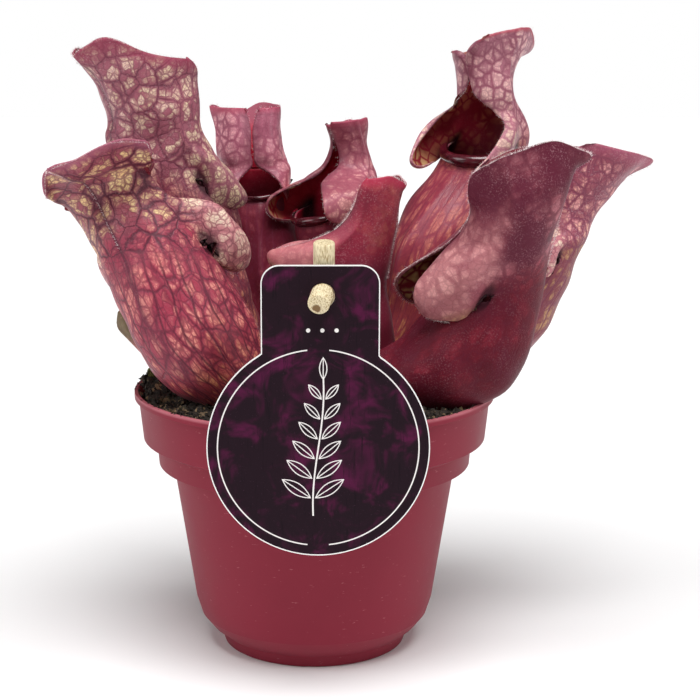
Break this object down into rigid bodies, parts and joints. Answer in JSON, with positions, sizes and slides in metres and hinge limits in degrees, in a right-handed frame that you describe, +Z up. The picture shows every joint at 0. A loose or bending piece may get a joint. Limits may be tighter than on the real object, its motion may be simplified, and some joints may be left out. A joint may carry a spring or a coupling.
{
  "type": "potted pitcher plant",
  "caption": "Carnivorous pitcher plant in a plastic nursery pot: upright hooded tubes with veined skin rise from peat, and a round card label hangs on a reed stake.",
  "frame": {"origin": "middle of the pot's foot, on the surface it stands on", "axes": "+Z up, -Y towards the side the label hangs on, +X to the right seen from there"},
  "size_m": [0.1991, 0.1407, 0.2038],
  "materials": {
    "pot_plastic": "satin raspberry-coloured moulded plastic",
    "pitcher_skin": "living leaf tissue, waxy satin, dark red veins round pale cells",
    "young_pitcher_skin": "living leaf tissue, velvety crimson",
    "peat": "loose damp peat crumbs",
    "rhizome": "matte fibrous rootstock",
    "moss": "short matted moss",
    "dry_leaf": "dried papery leaf base",
    "label_card": "printed card, satin, white cut edge",
    "reed": "matte dry straw with lengthwise fibres"
  },
  "bodies": {
    "root": {"pot": "pot_plastic", "pitcher_right_front": "pitcher_skin", "pitcher_left_front": "pitcher_skin", "pitcher_right_back": "pitcher_skin", "pitcher_left_back": "pitcher_skin", "pitcher_tall_right": "pitcher_skin", "pitcher_back_left": "pitcher_skin", "pitcher_back_middle": "pitcher_skin", "pitcher_young_front": "young_pitcher_skin", "peat": "peat", "rhizome": "rhizome", "moss": "moss", "old_leaf_stub": "dry_leaf", "label_card": "label_card", "label_stake": "reed", "label_peg": "reed"}
  },
  "joints": []
}
